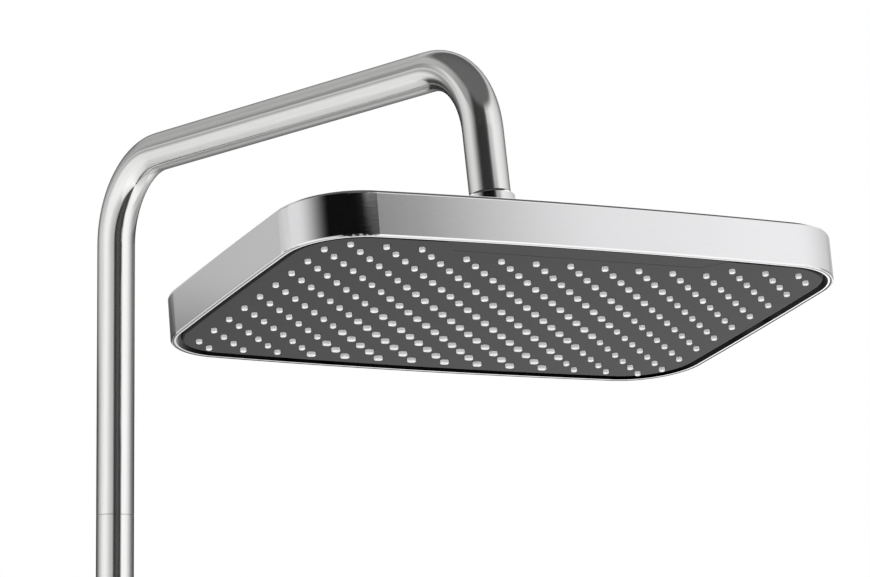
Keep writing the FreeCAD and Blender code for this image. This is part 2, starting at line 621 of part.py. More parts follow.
def selector_parts():
    """Selector bar with its two guide pins and foot, and the clips and springs on the pins."""
    bar = slab(FACE_INSET, FACE_Z, FACE_TOP_Z)
    bar = bar.common(bar_prism(-SEAM_GAP / 2, FACE_Z - OVER, FACE_TOP_Z + OVER))
    front = [edge for edge in edges_at(bar, FACE_Z) if edge.BoundBox.YMax < -BAR_PIN_Y]
    bar = bar.makeChamfer(BAR_EASE, front)
    clip_low = TRAY_TOP_Z + SLIP
    clip_high = clip_low + CLIP_T
    groove_r = BAR_PIN_R - CLIP_BITE
    clips, springs = [], []
    for side in (-1, 1):
        at = V(side * BAR_PIN_X, -BAR_PIN_Y, 0)
        pin = disc(BAR_PIN_R, FACE_TOP_Z - FACE_SKIN, clip_high + CLIP_T, at)
        bar = bar.fuse(pin).cut(tube(BAR_PIN_R + OVER, groove_r, clip_low, clip_high, at))
        clip = tube(BAR_PIN_R + CLIP_WIDTH, groove_r, clip_low, clip_high, at)
        mouth = block(at + V(-groove_r, 0, clip_low), at + V(groove_r, 2 * BAR_PIN_R, clip_high))
        clips.append(clip.cut(mouth))
        springs.append(coil(BAR_PIN_R + SPRING_GAP + SPRING_WIRE_R, SPRING_WIRE_R, FACE_TOP_Z,
                            LEDGE_Z, BAR_SPRING_TURNS, at))
    foot = disc(FOOT_R, FACE_TOP_Z - FACE_SKIN, PUSH_Z, V(0, -BAR_PIN_Y, 0))
    add("selector_bar", bar.fuse(foot).removeSplitter(), HEAD)
    add("bar_clips", Part.makeCompound(clips), HEAD)
    add("bar_springs", Part.makeCompound(springs), HEAD)


def nozzle(stretch):
    """One silicone nozzle hanging from the mat, tip down."""
    tip = FACE_Z - NOZZLE_OUT
    body = oval(NOZZLE_R, stretch, tip, FACE_TOP_Z + MAT_T / 2)
    return body.makeChamfer(NOZZLE_TIP, edges_at(body, tip))


def nozzle_mat():
    low, high = FACE_TOP_Z - OVER, MAT_TOP_Z + OVER
    mat = slab(FACE_INSET + MAT_STEP, FACE_TOP_Z, MAT_TOP_Z)
    mat = mat.cut(bar_prism(POCKET_GAP, low, high))
    mat = cut_all(mat, [disc(FACE_BOSS_R + SLIP, low, high, p) for p in face_screw_places()])
    mat = mat.fuse(over_grid(nozzle))
    tip = FACE_Z - NOZZLE_OUT
    return cut_all(mat, over_grid(lambda stretch: oval(NOZZLE_BORE_R, stretch, tip - OVER, high)))


# ---------------------------------------------------------------- water chamber and manifold

def spray_chamber():
    """Tray that opens down onto the mat, with three cells, ports and the bar's ledge."""
    above = TRAY_TOP_Z + OVER
    body = slab(TRAY_OUT_INSET, MAT_TOP_Z, TRAY_TOP_Z)
    body = body.fuse(slab(TRIM_INSET + TRIM_T + SLIP, FLANGE_Z, FLANGE_Z + FLANGE_T))
    cavity = slab(TRAY_IN_INSET, MAT_TOP_Z - OVER, VALVE_SEAT_Z)
    cavity = cavity.cut(bar_prism(POCKET_GAP + PARTITION_T, 0, above))
    for side in (-1, 1):
        low = V(side * CENTRE_BLOCK * PITCH - PARTITION_T / 2, -HEAD_WIDTH, 0)
        cavity = cavity.cut(block(low, low + V(PARTITION_T, 2 * HEAD_WIDTH, above)))
    body = body.cut(cavity).cut(bar_prism(POCKET_GAP, 0, LEDGE_Z))

    boss_top = FACE_TOP_Z + FACE_BOSS_H + SLIP
    tools = [disc(VALVE_PORT_R, LEDGE_Z, above, V(0, VALVE_Y, 0)),
             disc(FOOT_R + 2 * SLIP, 0, above, V(0, -BAR_PIN_Y, 0))]
    for place in face_screw_places():
        tools.append(disc(FACE_SCREW_R + RUN, 0, above, place))
        tools.append(disc(FACE_BOSS_R + SLIP, 0, boss_top, place))
    for side in (-1, 1):
        tools.append(disc(SIDE_PORT_R, LEDGE_Z, above, X * (side * SIDE_PORT_X)))
        tools.append(disc(BAR_PIN_R + RUN, 0, above, V(side * BAR_PIN_X, -BAR_PIN_Y, 0)))
    return cut_all(body, tools)


def face_screws():
    screws = []
    for place in face_screw_places():
        shank = disc(FACE_SCREW_R, FACE_Z + FACE_SKIN + SLIP, TRAY_TOP_Z, place)
        head = disc(FACE_SCREW_HEAD_R, TRAY_TOP_Z, TRAY_TOP_Z + FACE_SCREW_HEAD_T, place)
        screws.append(shank.fuse(head))
    return Part.makeCompound(screws)


def boss_screw_places():
    spread = BOSS_SCREW_CIRCLE_R / math.sqrt(2)
    return [V(a * spread, b * spread, 0) for a in (-1, 1) for b in (-1, 1)]


def manifold_cover():
    """Cover that makes the water duct on top of the chamber and carries collar and rocker."""
    duct_x = SIDE_PORT_X + SIDE_PORT_R + COVER_RIM
    rim_x, rim_y = duct_x + COVER_RIM, DUCT_HALF_Y + COVER_RIM
    branch_x = VALVE_PORT_R + COVER_RIM
    tongue_x = branch_x + COVER_RIM
    tongue_y = min(PIVOT_Y - ROCKER_HUB_R, VALVE_Y - branch_x) - COVER_RIM / 2
    under = TRAY_TOP_Z - OVER
    cover = block(V(-rim_x, -rim_y, TRAY_TOP_Z), V(rim_x, rim_y, COVER_TOP_Z))
    cover = cover.fuse(block(V(-tongue_x, tongue_y, TRAY_TOP_Z), V(tongue_x, 0, COVER_TOP_Z)))
    cover = cover.cut(block(V(-duct_x, -DUCT_HALF_Y, under), V(duct_x, DUCT_HALF_Y, DUCT_TOP_Z)))
    cover = cover.cut(block(V(-branch_x, VALVE_Y - branch_x, under), V(branch_x, 0, DUCT_TOP_Z)))

    on_skin = COVER_TOP_Z - COVER_SKIN / 2
    raised = [disc(BOSS_SCREW_R + BOSS_POST_WALL, on_skin, COLLAR_TOP_Z, p)
              for p in boss_screw_places()]
    raised.append(disc(COLLAR_R, on_skin, COLLAR_TOP_Z))
    for side in (-1, 1):
        near = ROCKER_WIDTH / 2 + ROOMY
        inner, outer = sorted((side * near, side * (near + EAR_T)))
        raised.append(block(V(inner, PIVOT_Y - ROCKER_HUB_R, on_skin),
                            V(outer, PIVOT_Y + ROCKER_HUB_R, ROCKER_Z + ROCKER_HUB_R)))
    cover = cover.fuse(raised)

    above = COLLAR_TOP_Z + OVER
    ring_half = BOSS_O_RING_R + SLIP
    pin_at = V(0, PIVOT_Y, ROCKER_Z)
    stem_at = V(0, VALVE_Y, 0)
    tools = [disc(BOSS_SCREW_R, DUCT_TOP_Z + GLAND_FLOOR_T, above, p) for p in boss_screw_places()]
    tools += [disc(COLLAR_BORE_R, under, above),
              tube(BOSS_O_RING_AT + ring_half, BOSS_O_RING_AT - ring_half,
                   COLLAR_TOP_Z - 2 * BOSS_O_RING_R, above),
              rod(ROCKER_PIN_R, pin_at - X * tongue_x, pin_at + X * tongue_x),
              disc(VALVE_ROD_R + RUN, under, above, stem_at),
              disc(VALVE_ROD_R + STEM_SEAL_T, DUCT_TOP_Z + GLAND_FLOOR_T, above, stem_at)]
    return cut_all(cover, tools).removeSplitter()


def chamber_parts():
    add("nozzle_mat", nozzle_mat(), HEAD)
    add("spray_chamber", spray_chamber(), HEAD)
    add("face_screws", face_screws(), HEAD)
    add("manifold_cover", manifold_cover(), HEAD)
    ring = Part.makeTorus(BOSS_O_RING_AT, BOSS_O_RING_R, Z * (COLLAR_TOP_Z - BOSS_O_RING_R), Z)
    add("boss_o_ring", ring, HEAD)


# ---------------------------------------------------------------- spray valve and rocker

def valve_parts():
    at = V(0, VALVE_Y, 0)
    stem = disc(VALVE_ROD_R, VALVE_DISC_Z, PUSH_Z, at)
    stem = stem.fuse(disc(VALVE_DISC_R, VALVE_DISC_Z, VALVE_WASHER_Z, at))
    add("valve_stem", stem.removeSplitter(), HEAD)
    add("valve_washer", tube(VALVE_DISC_R - SLIP, VALVE_ROD_R, VALVE_WASHER_Z,
                             VALVE_WASHER_Z + VALVE_WASHER_T, at), HEAD)
    add("stem_seal", tube(VALVE_ROD_R + STEM_SEAL_T, VALVE_ROD_R + RUN,
                          DUCT_TOP_Z + GLAND_FLOOR_T, COVER_TOP_Z, at), HEAD)

    low = CAGE_FLOOR_Z - CAGE_FLOOR_T
    cage = disc(CAGE_R, low, VALVE_SEAT_Z, at)
    cage = cage.cut(disc(CAGE_R - CAGE_WALL, CAGE_FLOOR_Z, VALVE_SEAT_Z + OVER, at))
    low, high = CAGE_FLOOR_Z + CAGE_FLOOR_T, VALVE_SEAT_Z - CAGE_FLOOR_T
    long_half, short_half = CAGE_R + OVER, CAGE_WINDOW / 2
    windows = [block(at + V(-a, -b, low), at + V(a, b, high))
               for a, b in ((long_half, short_half), (short_half, long_half))]
    add("valve_cage", cut_all(cage, windows), HEAD)
    spring = coil(VALVE_PORT_R - SPRING_WIRE_R, SPRING_WIRE_R, CAGE_FLOOR_Z, VALVE_DISC_Z,
                  VALVE_SPRING_TURNS, at)
    add("valve_spring", spring, HEAD)


def rocker_parts():
    half, pad = ROCKER_WIDTH / 2, ROCKER_T / 2
    front, back = PIVOT_Y - ROCKER_ARM, PIVOT_Y + ROCKER_ARM
    waist = pad - ROCKER_NOSE
    rocker = block(V(-half, front, ROCKER_Z - waist), V(half, back, ROCKER_Z + waist))
    for y, radius in ((front, pad), (back, pad), (PIVOT_Y, ROCKER_HUB_R)):
        rocker = rocker.fuse(rod(radius, V(-half, y, ROCKER_Z), V(half, y, ROCKER_Z)))
    bore = rod(ROCKER_PIN_R + RUN, V(-half - OVER, PIVOT_Y, ROCKER_Z),
               V(half + OVER, PIVOT_Y, ROCKER_Z))
    add("selector_rocker", rocker.cut(bore).removeSplitter(), HEAD)
    reach = half + ROOMY + EAR_T
    add("rocker_pin", rod(ROCKER_PIN_R, V(-reach, PIVOT_Y, ROCKER_Z),
                          V(reach, PIVOT_Y, ROCKER_Z)), HEAD)


# ---------------------------------------------------------------- ball joint

def polar_cone(polar, far):
    """Solid of all points near the origin that lie within a polar angle of +Z."""
    angle = math.radians(polar)
    if polar < 45:
        return turned([(0, 0), (far * math.tan(angle), far), (0, far)])
    side = (far * math.sin(angle), far * math.cos(angle))
    return turned([(0, 0), side, (far, side[1]), (far, far), (0, far)])


def ball_ring(polars):
    """Liner ring between two spheres about the ball's centre, between two polar angles."""
    outer = BALL_R + RUN + BALL_RING_T
    ring = Part.makeSphere(outer).cut(Part.makeSphere(BALL_R + RUN))
    ring = ring.common(polar_cone(polars[1], 2 * outer)).cut(polar_cone(polars[0], 2 * outer))
    ring.translate(Z * BALL_Z)
    return ring


def ball_stem():
    """Hollow ball with its neck and the threaded socket that takes the drop tube's nipple."""
    socket = chamfered_disc(SOCKET_R, SOCKET_Z, SOCKET_TOP_Z, CHAMFER, CHAMFER)
    socket = flats(socket, SOCKET_FLAT, SOCKET_Z, SOCKET_TOP_Z - 2 * CHAMFER)
    stem = Part.makeSphere(BALL_R, Z * BALL_Z).fuse(disc(NECK_R, BALL_Z, SOCKET_Z)).fuse(socket)
    return cut_all(stem, [disc(BALL_BORE_R, BALL_Z - BALL_R - OVER, SOCKET_TOP_Z + OVER),
                          disc(SOCKET_THREAD_R, SOCKET_FLOOR_Z, SOCKET_TOP_Z + OVER)])


def boss_parts():
    """Threaded boss that carries the head, and the four screws through its flange."""
    boss = disc(BOSS_FLANGE_R, COLLAR_TOP_Z, SHELL_ROOF_Z)
    boss = boss.fuse(disc(BOSS_NECK_R, COLLAR_TOP_Z, BOSS_NECK_TOP))
    boss = boss.cut(Part.makeSphere(POCKET_R, Z * BALL_Z))
    tools = [disc(BOSS_BORE_R, COLLAR_TOP_Z - OVER, BALL_Z)]
    screws = []
    seat = SHELL_ROOF_Z - BOSS_SCREW_HEAD_T - SLIP
    for place in boss_screw_places():
        tools.append(disc(BOSS_SCREW_R + SLIP, COLLAR_TOP_Z - OVER, SHELL_ROOF_Z, place))
        tools.append(disc(BOSS_SCREW_HEAD_R + SLIP, seat, SHELL_ROOF_Z + OVER, place))
        head = disc(BOSS_SCREW_HEAD_R, seat, seat + BOSS_SCREW_HEAD_T, place)
        screws.append(head.fuse(disc(BOSS_SCREW_R, DUCT_TOP_Z + GLAND_FLOOR_T, seat, place)))
    add("inlet_boss", cut_all(boss, tools), HEAD)
    add("boss_screws", Part.makeCompound(screws), HEAD)


def nut_parts():
    """Lock nut that clamps the shell to the boss, and the nut that holds the ball."""
    bore_r = BOSS_NECK_R + RUN
    lock_top = SHELL_H + LOCK_NUT_T
    lock = chamfered_disc(bore_r + LOCK_NUT_WALL, SHELL_H, lock_top, 0, CHAMFER)
    add("lock_nut", lock.cut(disc(bore_r, SHELL_H - OVER, lock_top + OVER)), HEAD)

    low, high = lock_top + NUT_GAP, BALL_Z + JOINT_NUT_TOP
    nut = chamfered_disc(JOINT_NUT_R, low, high, CHAMFER, JOINT_NUT_TAPER)
    nut = flats(nut, JOINT_NUT_FLAT, low + CHAMFER, high - JOINT_NUT_TAPER - CHAMFER)
    throat_z = BALL_Z + 0.6 * POCKET_R
    throat_r = 0.8 * POCKET_R
    mouth_r = throat_r + (high + OVER - throat_z) * math.tan(sway_both) * 2
    flare = turned([(0, BALL_Z), (throat_r, BALL_Z), (throat_r, throat_z),
                    (mouth_r, high + OVER), (0, high + OVER)])
    nut = cut_all(nut, [disc(bore_r, low - OVER, BOSS_NECK_TOP + ROOMY), flare])
    add("joint_nut", nut.cut(Part.makeSphere(POCKET_R, Z * BALL_Z)), HEAD)


# ---------------------------------------------------------------- end of the drop tube

def drop_end_parts():
    nipple_top = DROP_END_Z + NIPPLE_UP
    thread_low = SOCKET_FLOOR_Z + STRAINER_T
    nipple = disc(TUBE_IR, DROP_END_Z, nipple_top)
    nipple = nipple.fuse(disc(SOCKET_THREAD_R - RUN, thread_low, DROP_END_Z))
    add("drop_nipple", nipple.cut(disc(WATERWAY_R, thread_low - OVER, nipple_top + OVER)), DROP)
    add("joint_washer", tube(TUBE_R - SLIP, SOCKET_THREAD_R, SOCKET_TOP_Z, DROP_END_Z), DROP)

    top = DROP_END_Z + REGULATOR_T
    circle_r = WATERWAY_R - 3 * REGULATOR_HOLE_R
    turn = 2 * math.pi / REGULATOR_HOLES
    holes = [disc(REGULATOR_HOLE_R, DROP_END_Z - OVER, top + OVER,
                  V(circle_r * math.cos(k * turn), circle_r * math.sin(k * turn), 0))
             for k in range(REGULATOR_HOLES)]
    add("flow_regulator", cut_all(disc(WATERWAY_R, DROP_END_Z, top), holes), DROP)

    floor = SOCKET_FLOOR_Z + STRAINER_FLOOR_T
    cup = disc(SOCKET_THREAD_R - SLIP, SOCKET_FLOOR_Z, thread_low)
    cup = cup.cut(disc(WATERWAY_R, floor, thread_low + OVER))
    reach = int((WATERWAY_R - 2 * STRAINER_HOLE_R) / STRAINER_PITCH)
    spots = [V(a * STRAINER_PITCH, b * STRAINER_PITCH, 0)
             for a in range(-reach, reach + 1) for b in range(-reach, reach + 1)
             if math.hypot(a, b) <= reach + 0.3]
    mesh = [disc(STRAINER_HOLE_R, SOCKET_FLOOR_Z - OVER, floor + OVER, p) for p in spots]
    add("strainer_washer", cut_all(cup, mesh), DROP)


def main():
    add("upper_tube", upper_tube())
    riser_parts()
    bracket_parts()
    swivel_parts()
    shell_parts()
    add("face_plate", face_plate(), HEAD)
    selector_parts()
    chamber_parts()
    valve_parts()
    rocker_parts()
    add("ball_stem", ball_stem(), DROP)
    add("ball_slip_ring", ball_ring(RING_POLAR), HEAD)
    add("ball_seat", ball_ring(SEAT_POLAR), HEAD)
    boss_parts()
    nut_parts()
    drop_end_parts()

    os.makedirs("parts", exist_ok=True)
    for name, shape in NODES.items():
        print("%-16s solids %3d volume %9.1f mm3 valid %s" % (
            name, len(shape.Solids), shape.Volume, shape.isValid()))
        shape.exportStep("parts/" + name + ".step")
    print(len(NODES), "nodes,", sum(len(row[1]) for row in GRID), "nozzles, ball at", BALL)
    for label, point in (("head axes x", X), ("y", Y), ("z", Z)):
        print(label, HEAD.Rotation.multVec(point))
    for label, point in (("pivot", V(0, PIVOT_Y, ROCKER_Z)), ("head origin", V(0, 0, 0)),
                         ("bar springs' fixed end", V(0, -BAR_PIN_Y, LEDGE_Z)),
                         ("valve spring's fixed end", V(0, VALVE_Y, CAGE_FLOOR_Z))):
        print(label, HEAD.multVec(point))


main()
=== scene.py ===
"""Looks of a tubular shower column with a rectangular rain head.

Metres, in the CAD model's frame.
"""

import math

import bpy
from mathutils import Matrix, Vector


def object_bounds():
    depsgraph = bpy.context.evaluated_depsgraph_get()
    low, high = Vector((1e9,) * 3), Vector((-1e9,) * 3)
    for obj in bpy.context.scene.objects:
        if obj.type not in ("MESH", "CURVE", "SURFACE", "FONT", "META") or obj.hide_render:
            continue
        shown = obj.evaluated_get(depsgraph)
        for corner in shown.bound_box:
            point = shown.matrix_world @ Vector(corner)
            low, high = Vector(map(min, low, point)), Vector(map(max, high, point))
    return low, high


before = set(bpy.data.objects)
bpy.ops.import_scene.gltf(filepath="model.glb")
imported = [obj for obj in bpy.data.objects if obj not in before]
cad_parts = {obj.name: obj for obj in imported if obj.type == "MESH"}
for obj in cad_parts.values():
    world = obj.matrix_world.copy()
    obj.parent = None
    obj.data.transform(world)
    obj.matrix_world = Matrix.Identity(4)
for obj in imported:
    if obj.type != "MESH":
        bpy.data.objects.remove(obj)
cad_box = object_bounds()

MM = 0.001

# Axes and middle of the rain head, which hangs turned and tipped on its ball joint, and the
# mapping rotation that lays a pattern along those axes.
HEAD_X = Vector((0.985810, -0.167736, 0.006542))
HEAD_Y = Vector((0.166762, 0.974144, -0.152423))
HEAD_Z = Vector((0.019194, 0.151351, 0.988294))
HEAD_AT = Vector((-0.6948, -425.1115, 165.5666)) * MM
HEAD_TURN = Matrix((HEAD_X, HEAD_Y, HEAD_Z)).to_euler()

# Its outline: a box with bowed sides, drawn out by the radius of its corners.
HEAD_CORNER_R = 37.5 * MM
HEAD_CORNER = Vector((113.1, 63.9, 0)) * MM
HEAD_BOW = Vector((0.5, 3.4, 0)) * MM
LIP_HEIGHT = 2 * MM     # below this, the shell is its lip

# Centres of the tube's two bends, which share one radius, and the way the drop runs.
BEND_R = 46.3 * MM
RISER_BEND = Vector((0, -106.3, 253.7)) * MM
DROP_BEND = Vector((0, -364.04, 253.7)) * MM
DROP_UP = Vector((0, 0.163326, 0.986572))


# ---------------------------------------------------------------- materials

def linear(code):
    """An sRGB hex colour as linear red, green, blue and alpha."""
    parts = [int(code[k:k + 2], 16) / 255 for k in (1, 3, 5)]
    return [c / 12.92 if c <= 0.04045 else ((c + 0.055) / 1.055) ** 2.4 for c in parts] + [1]


def node(tree, kind, settings=None, links=None):
    """Adds a node. A setting names a socket or a property; a link gives a socket what feeds it."""
    made = tree.nodes.new(kind)
    for name, value in (settings or {}).items():
        if isinstance(name, str) and hasattr(made, name):
            setattr(made, name, value)
        else:
            made.inputs[name].default_value = value
    for name, source in (links or {}).items():
        tree.links.new(source, made.inputs[name])
    return made


def new_finish(name, **shader):
    """An empty material of that name with its shader and the piece's own coordinates."""
    material = bpy.data.materials.new(name)
    material.use_nodes = True
    tree = material.node_tree
    tree.nodes.clear()
    skin = node(tree, "ShaderNodeBsdfPrincipled", shader)
    node(tree, "ShaderNodeOutputMaterial", links={"Surface": skin.outputs["BSDF"]})
    place = node(tree, "ShaderNodeTexCoord").outputs["Object"]
    return material, tree, skin, place


def grained(name, pale, dark, grain_mm, stretch=(1, 1, 1), turn=(0, 0, 0), rough=(0.3, 0.4),
            bump_mm=0.0, **shader):
    """A finish whose colour, gloss and relief follow one grain, longer along some axes."""
    material, tree, skin, place = new_finish(name, **shader)
    scale = [s / (grain_mm * MM) for s in stretch]
    turned = node(tree, "ShaderNodeMapping", {"vector_type": "POINT", "Rotation": turn,
                                              "Scale": scale}, {"Vector": place})
    grain = node(tree, "ShaderNodeTexNoise", {"Scale": 1.0, "Detail": 3.0, "Roughness": 0.55},
                 {"Vector": turned.outputs["Vector"]}).outputs["Fac"]
    colour = node(tree, "ShaderNodeMix", {"data_type": "RGBA", 6: linear(dark), 7: linear(pale)},
                  {0: grain})
    gloss = node(tree, "ShaderNodeMapRange", {"From Min": 0.3, "From Max": 0.7,
                                              "To Min": rough[0], "To Max": rough[1]},
                 {"Value": grain})
    tree.links.new(colour.outputs[2], skin.inputs["Base Color"])
    tree.links.new(gloss.outputs["Result"], skin.inputs["Roughness"])
    if bump_mm:
        relief = node(tree, "ShaderNodeBump", {"Strength": 1.0, "Distance": bump_mm * MM},
                      {"Height": grain})
        tree.links.new(relief.outputs["Normal"], skin.inputs["Normal"])
    return material


def along_head(tree, place, way):
    """How far a point lies from the head's own origin along one of its axes."""
    arm = node(tree, "ShaderNodeVectorMath", {"operation": "SUBTRACT", 1: HEAD_AT}, {0: place})
    return node(tree, "ShaderNodeVectorMath", {"operation": "DOT_PRODUCT", 1: way},
                {0: arm.outputs["Vector"]}).outputs["Value"]


def painted_shade_where(finish, part, code):
    """Paints shade, as a dark colour, on a part of the piece: part takes the tree and a point's
    place, and gives 1 there."""
    tree = finish.node_tree
    skin = next(n for n in tree.nodes if n.type == "BSDF_PRINCIPLED")
    place = next(n for n in tree.nodes if n.type == "TEX_COORD").outputs["Object"]
    front = skin.inputs["Base Color"].links[0].from_socket
    # Mix the painted shade colour into the base colour where part gives 1.
    both = node(tree, "ShaderNodeMix", {"data_type": "RGBA", 7: linear(code)},
                {0: part(tree, place), 6: front})
    tree.links.new(both.outputs[2], skin.inputs["Base Color"])
    return finish


def painted_shade_behind(finish, height_mm, code):
    """Paints shade, as a dark colour, on the part of a piece that lies deeper in the head than a
    height.
    """
    def deep(tree, place):
        return node(tree, "ShaderNodeMath", {"operation": "GREATER_THAN", 1: height_mm * MM},
                    {0: along_head(tree, place, HEAD_Z)}).outputs["Value"]

    return painted_shade_where(finish, deep, code)


def painted_shade_lip(finish, inset_mm, code):
    """Paints shade, as a dark colour, on the lip's inner edge, farther in from the head's outline
    than a width."""
    def inner_edge(tree, place):
        x, y, z = (along_head(tree, place, way) for way in (HEAD_X, HEAD_Y, HEAD_Z))
        # A side swells past its ends by less and less away from its middle, so how far it has
        # drawn back goes by the square of the way along it.
        swapped = node(tree, "ShaderNodeCombineXYZ", None, {"X": y, "Y": x})
        along = node(tree, "ShaderNodeVectorMath",
                     {"operation": "DIVIDE", 1: (HEAD_CORNER.y, HEAD_CORNER.x, 1)},
                     {0: swapped.outputs["Vector"]}).outputs["Vector"]
        squared = node(tree, "ShaderNodeVectorMath", {"operation": "MULTIPLY"},
                       {0: along, 1: along})
        back = node(tree, "ShaderNodeVectorMath", {"operation": "MINIMUM", 1: (1, 1, 0)},
                    {0: squared.outputs["Vector"]})
        spot = node(tree, "ShaderNodeCombineXYZ", None, {"X": x, "Y": y})
        across = node(tree, "ShaderNodeVectorMath", {"operation": "ABSOLUTE"},
                      {0: spot.outputs["Vector"]})
        straight = node(tree, "ShaderNodeVectorMath", {"operation": "MULTIPLY_ADD", 1: HEAD_BOW},
                        {0: back.outputs["Vector"], 2: across.outputs["Vector"]})
        past = node(tree, "ShaderNodeVectorMath",
                    {"operation": "SUBTRACT", 1: HEAD_CORNER + HEAD_BOW},
                    {0: straight.outputs["Vector"]})
        outside = node(tree, "ShaderNodeVectorMath", {"operation": "MAXIMUM", 1: (0, 0, 0)},
                       {0: past.outputs["Vector"]})
        far = node(tree, "ShaderNodeVectorMath", {"operation": "LENGTH"},
                   {0: outside.outputs["Vector"]})
        inner = node(tree, "ShaderNodeMath",
                     {"operation": "LESS_THAN", 1: HEAD_CORNER_R - inset_mm * MM},
                     {0: far.outputs["Value"]})
        low = node(tree, "ShaderNodeMath", {"operation": "LESS_THAN", 1: LIP_HEIGHT}, {0: z})
        return node(tree, "ShaderNodeMath", {"operation": "MULTIPLY"},
                    {0: inner.outputs["Value"], 1: low.outputs["Value"]}).outputs["Value"]

    return painted_shade_where(finish, inner_edge, code)


def satin_tube():
    """Satin stainless tube: soft reflections with fine grey lines that run along the bends too."""
    material, tree, skin, place = new_finish(
        "satin_stainless_tube", **{"Metallic": 0.97, "Specular Tint": linear("#848484")})

    def beside(centre, first, second):
        """How far a point lies outside a bend's centreline, or beside the straight runs."""
        arm = node(tree, "ShaderNodeVectorMath", {"operation": "SUBTRACT", 1: centre}, {0: place})
        sides = [node(tree, "ShaderNodeVectorMath", {"operation": "DOT_PRODUCT", 1: way},
                      {0: arm.outputs["Vector"]}).outputs["Value"] for way in (first, second)]
        both = node(tree, "ShaderNodeCombineXYZ", None, {"X": sides[0], "Y": sides[1]})
        ahead = node(tree, "ShaderNodeVectorMath", {"operation": "MAXIMUM", 1: (0, 0, 0)},
                     {0: both.outputs["Vector"]})
        far = node(tree, "ShaderNodeVectorMath", {"operation": "LENGTH"},
                   {0: ahead.outputs["Vector"]}).outputs["Value"]
        return node(tree, "ShaderNodeMath", {"operation": "SUBTRACT", 1: BEND_R},
                    {0: far}).outputs["Value"]

    at_riser = beside(RISER_BEND, (0, 1, 0), (0, 0, 1))
    at_drop = beside(DROP_BEND, Vector((0, -DROP_UP.z, DROP_UP.y)), DROP_UP)
    split = node(tree, "ShaderNodeSeparateXYZ", None, {"Vector": place})
    before_drop = node(tree, "ShaderNodeMath", {"operation": "GREATER_THAN", 1: DROP_BEND.y},
                       {0: split.outputs["Y"]})
    across = node(tree, "ShaderNodeMix", {"data_type": "FLOAT"},
                  {0: before_drop.outputs["Value"], 2: at_drop, 3: at_riser})
    along = node(tree, "ShaderNodeMath", {"operation": "SUBTRACT"},
                 {0: split.outputs["Z"], 1: split.outputs["Y"]})
    unbent = node(tree, "ShaderNodeCombineXYZ", None,
                  {"X": split.outputs["X"], "Y": across.outputs[0], "Z": along.outputs["Value"]})
    # Real polishing lines are near 0.05 mm apart; they are drawn 0.45 mm apart to show at all,
    # and each runs about 22 mm along the tube.
    lines_at = node(tree, "ShaderNodeMapping", {"Scale": (2200, 2200, 45)},
                    {"Vector": unbent.outputs["Vector"]})
    lines = node(tree, "ShaderNodeTexNoise", {"Scale": 1.0, "Detail": 4.0, "Roughness": 0.6},
                 {"Vector": lines_at.outputs["Vector"]}).outputs["Fac"]
    clouds = node(tree, "ShaderNodeTexNoise", {"Scale": 90.0, "Detail": 2.0},
                  {"Vector": unbent.outputs["Vector"]}).outputs["Fac"]
    metal = node(tree, "ShaderNodeMix", {"data_type": "RGBA", 6: linear("#dcdcdb"),
                                         7: linear("#f0f0ef")}, {0: lines})
    dulled = node(tree, "ShaderNodeMapRange", {"From Min": 0.3, "From Max": 0.7,
                                               "To Min": 0.05, "To Max": 0.09}, {"Value": lines})
    gloss = node(tree, "ShaderNodeMath", {"operation": "MULTIPLY_ADD", 1: 0.03},
                 {0: clouds, 2: dulled.outputs["Result"]})
    relief = node(tree, "ShaderNodeBump", {"Strength": 0.25, "Distance": 0.02 * MM},
                  {"Height": lines})
    tree.links.new(metal.outputs[2], skin.inputs["Base Color"])
    tree.links.new(gloss.outputs["Value"], skin.inputs["Roughness"])
    tree.links.new(relief.outputs["Normal"], skin.inputs["Normal"])
    return material


